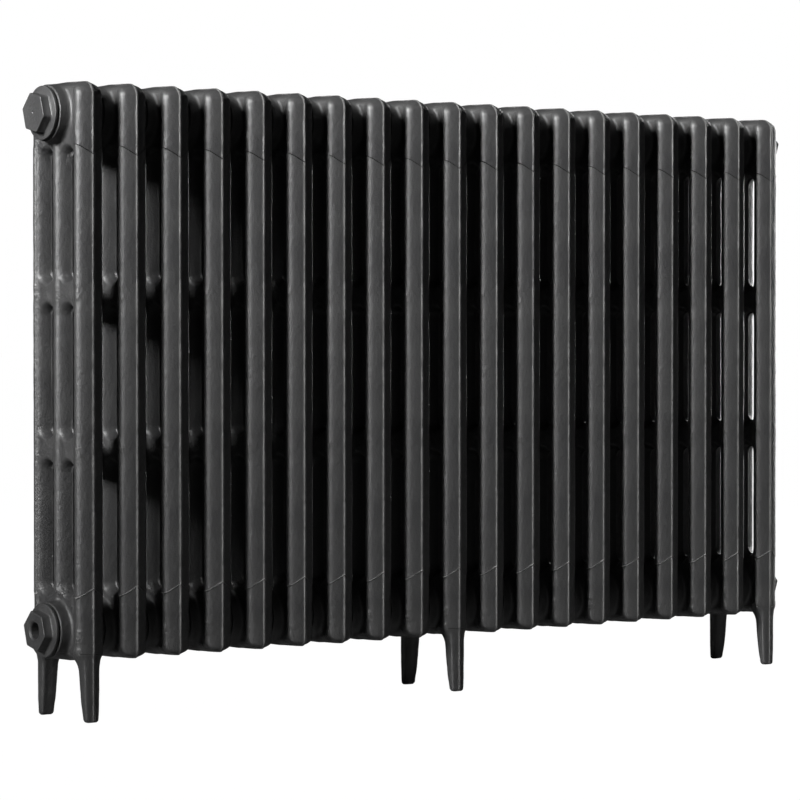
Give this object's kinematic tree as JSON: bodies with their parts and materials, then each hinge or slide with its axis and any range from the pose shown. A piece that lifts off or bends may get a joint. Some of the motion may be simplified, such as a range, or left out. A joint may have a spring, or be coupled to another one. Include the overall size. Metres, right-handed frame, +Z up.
{
  "type": "cast iron radiator",
  "caption": "Free-standing cast iron column radiator: slim ridged hollow sections with slotted columns, joined by nipples at two hubs, on tapered legs, with hexagonal end fittings.",
  "frame": {"origin": "middle of the footprint on the floor", "axes": "+X along the radiator towards its right end, +Y from front to back, +Z up"},
  "size_m": [1.173, 0.115, 0.742],
  "materials": {
    "painted_casting": "anthracite satin paint over rough casting",
    "bare_iron": "bare malleable iron, oiled",
    "brass": "turned brass"
  },
  "bodies": {
    "radiator": {"section_01": "painted_casting", "section_02": "painted_casting", "section_03": "painted_casting", "section_04": "painted_casting", "section_05": "painted_casting", "section_06": "painted_casting", "section_07": "painted_casting", "section_08": "painted_casting", "section_09": "painted_casting", "section_10": "painted_casting", "section_11": "painted_casting", "section_12": "painted_casting", "section_13": "painted_casting", "section_14": "painted_casting", "section_15": "painted_casting", "section_16": "painted_casting", "section_17": "painted_casting", "section_18": "painted_casting", "section_19": "painted_casting", "nipple_bottom_01": "bare_iron", "nipple_top_01": "bare_iron", "nipple_bottom_02": "bare_iron", "nipple_top_02": "bare_iron", "nipple_bottom_03": "bare_iron", "nipple_top_03": "bare_iron", "nipple_bottom_04": "bare_iron", "nipple_top_04": "bare_iron", "nipple_bottom_05": "bare_iron", "nipple_top_05": "bare_iron", "nipple_bottom_06": "bare_iron", "nipple_top_06": "bare_iron", "nipple_bottom_07": "bare_iron", "nipple_top_07": "bare_iron", "nipple_bottom_08": "bare_iron", "nipple_top_08": "bare_iron", "nipple_bottom_09": "bare_iron", "nipple_top_09": "bare_iron", "nipple_bottom_10": "bare_iron", "nipple_top_10": "bare_iron", "nipple_bottom_11": "bare_iron", "nipple_top_11": "bare_iron", "nipple_bottom_12": "bare_iron", "nipple_top_12": "bare_iron", "nipple_bottom_13": "bare_iron", "nipple_top_13": "bare_iron", "nipple_bottom_14": "bare_iron", "nipple_top_14": "bare_iron", "nipple_bottom_15": "bare_iron", "nipple_top_15": "bare_iron", "nipple_bottom_16": "bare_iron", "nipple_top_16": "bare_iron", "nipple_bottom_17": "bare_iron", "nipple_top_17": "bare_iron", "nipple_bottom_18": "bare_iron", "nipple_top_18": "bare_iron", "blank_plug_top_left": "painted_casting", "reducing_bush_bottom_left": "painted_casting", "reducing_bush_bottom_right": "painted_casting", "vent_plug_top_right": "painted_casting"},
    "bleed_screw": {"bleed_screw": "brass"}
  },
  "joints": [
    {"name": "bleed_screw_turn", "type": "hinge", "parent": "radiator", "child": "bleed_screw", "pos_m": [0.5845, 0, 0.705], "axis": [-1, 0, 0], "range_deg": [0, 360]}
  ]
}
